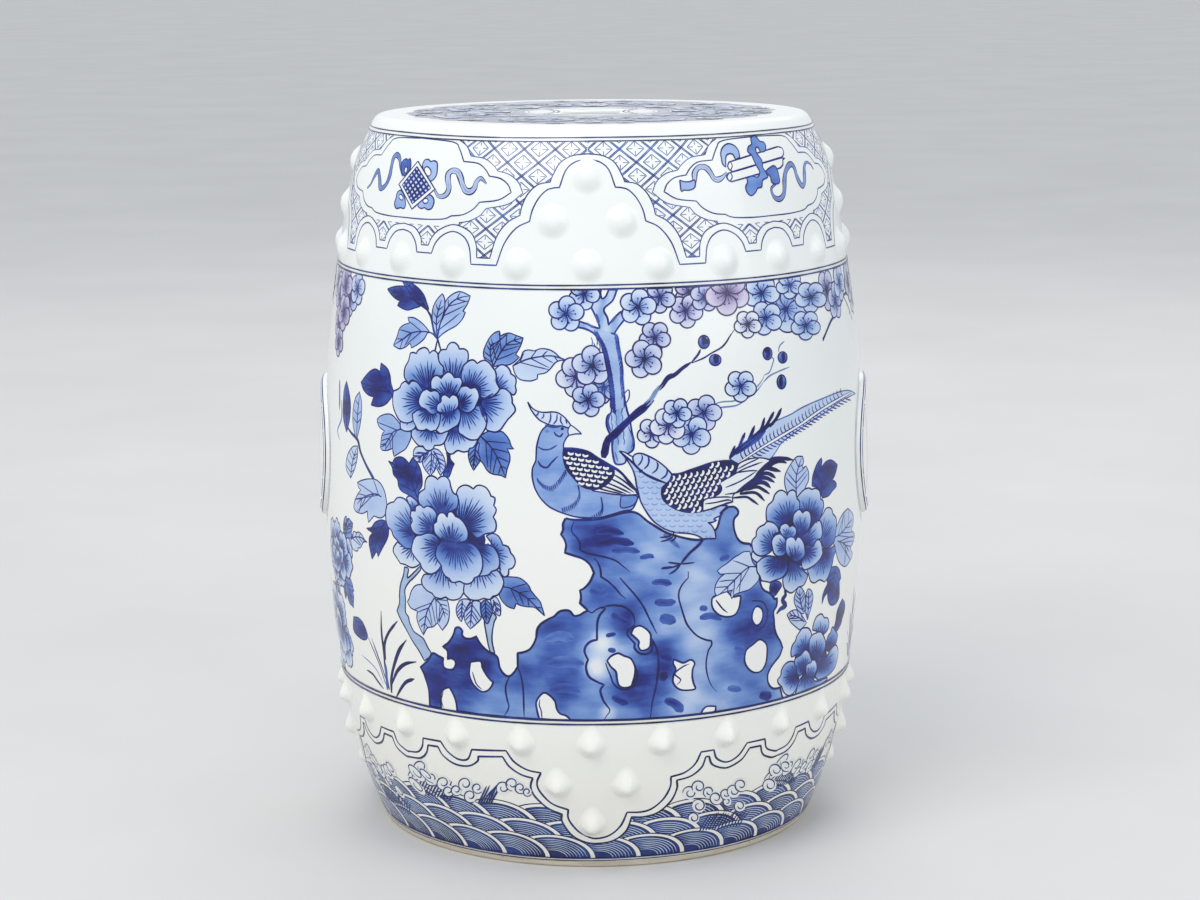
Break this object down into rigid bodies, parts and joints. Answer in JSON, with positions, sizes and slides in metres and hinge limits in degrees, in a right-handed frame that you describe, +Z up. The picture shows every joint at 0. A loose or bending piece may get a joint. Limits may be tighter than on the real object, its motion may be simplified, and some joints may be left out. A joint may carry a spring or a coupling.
{
  "type": "garden stool",
  "caption": "Barrel-shaped porcelain garden stool: hollow drum open at the foot, pierced flat seat, pierced coin roundels on the sides, rows of small bosses.",
  "frame": {"origin": "middle of the foot, on the floor that the stool stands on", "axes": "+Z up along the drum's axis, -Y towards the front painting, +X towards one of the two coin roundels"},
  "size_m": [0.3588, 0.3504, 0.457],
  "materials": {
    "white_glaze": "gloss",
    "bare_foot": "matte"
  },
  "bodies": {
    "root": {"drum_wall": "white_glaze", "foot_ring": "bare_foot", "seat_slab": "white_glaze", "coin_left": "white_glaze", "coin_right": "white_glaze", "shoulder_boss_row": "white_glaze", "shoulder_boss_groups": "white_glaze", "foot_boss_row": "white_glaze", "foot_boss_groups": "white_glaze"}
  },
  "joints": []
}
